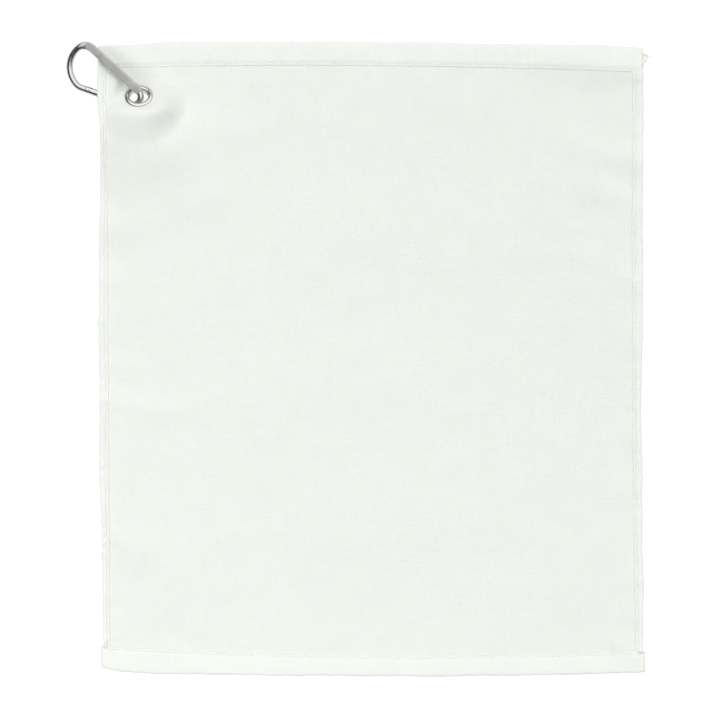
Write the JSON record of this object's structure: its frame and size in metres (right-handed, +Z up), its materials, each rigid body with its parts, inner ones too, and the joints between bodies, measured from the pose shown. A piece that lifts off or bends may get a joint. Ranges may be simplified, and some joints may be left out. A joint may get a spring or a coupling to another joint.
{
  "type": "golf towel",
  "caption": "White hemmed golf towel lying flat, with a rolled metal eyelet in its top left corner and a small sprung-gate clip through it for hanging it on a bag.",
  "frame": {"origin": "middle of the towel's flat underside, on the surface that it lies on", "axes": "+X along the top hem to the right, +Y up the towel towards the hem with the clip, +Z up out of the towel's face"},
  "size_m": [0.4137, 0.4541, 0.0194],
  "materials": {
    "towelling": "warm white cotton velour, sheared pile, matt",
    "thread": "white sewing thread",
    "eyelet_metal": "nickel plated, polished",
    "clip_metal": "polished rod, pressed back in satin silver grey",
    "gate_metal": "polished",
    "pin_steel": "bright steel",
    "spring_steel": "spring wire"
  },
  "bodies": {
    "towel": {"towel_panel": "towelling", "top_hem": "towelling", "bottom_hem": "towelling", "left_hem": "towelling", "right_hem": "towelling", "top_needle_thread": "thread", "bottom_needle_thread": "thread", "left_needle_thread": "thread", "right_needle_thread": "thread", "top_bobbin_thread": "thread", "bottom_bobbin_thread": "thread", "left_bobbin_thread": "thread", "right_bobbin_thread": "thread", "eyelet": "eyelet_metal", "eyelet_washer": "eyelet_metal"},
    "clip": {"clip_body": "clip_metal", "gate_rivet": "pin_steel"},
    "gate": {"gate": "gate_metal", "latch_pin": "pin_steel", "gate_spring": "spring_steel"},
    "plunger": {"gate_plunger": "pin_steel"}
  },
  "joints": [
    {"name": "clip_swivel", "type": "hinge", "parent": "towel", "child": "clip", "pos_m": [-0.1649, 0.18725, 0.0105], "axis": [0, 0.6018, 0.7986], "range_deg": [0, 6]},
    {"name": "gate_pivot", "type": "hinge", "parent": "clip", "child": "gate", "pos_m": [-0.17573, 0.18303, 0.00661], "axis": [0.2092, 0.2275, -0.9511], "range_deg": [0, 18], "stiffness_Nm_per_rad": 0.008, "springref_deg": -34.38},
    {"name": "plunger_slide", "type": "slide", "parent": "gate", "child": "plunger", "axis": [-0.9343, 0.3336, -0.1257], "range_m": [0, 0.00063], "deforming": ["gate_spring"]}
  ],
  "couplings": [
    {"joint": "plunger_slide", "follows": "gate_pivot", "m_per_rad": 0.002}
  ]
}
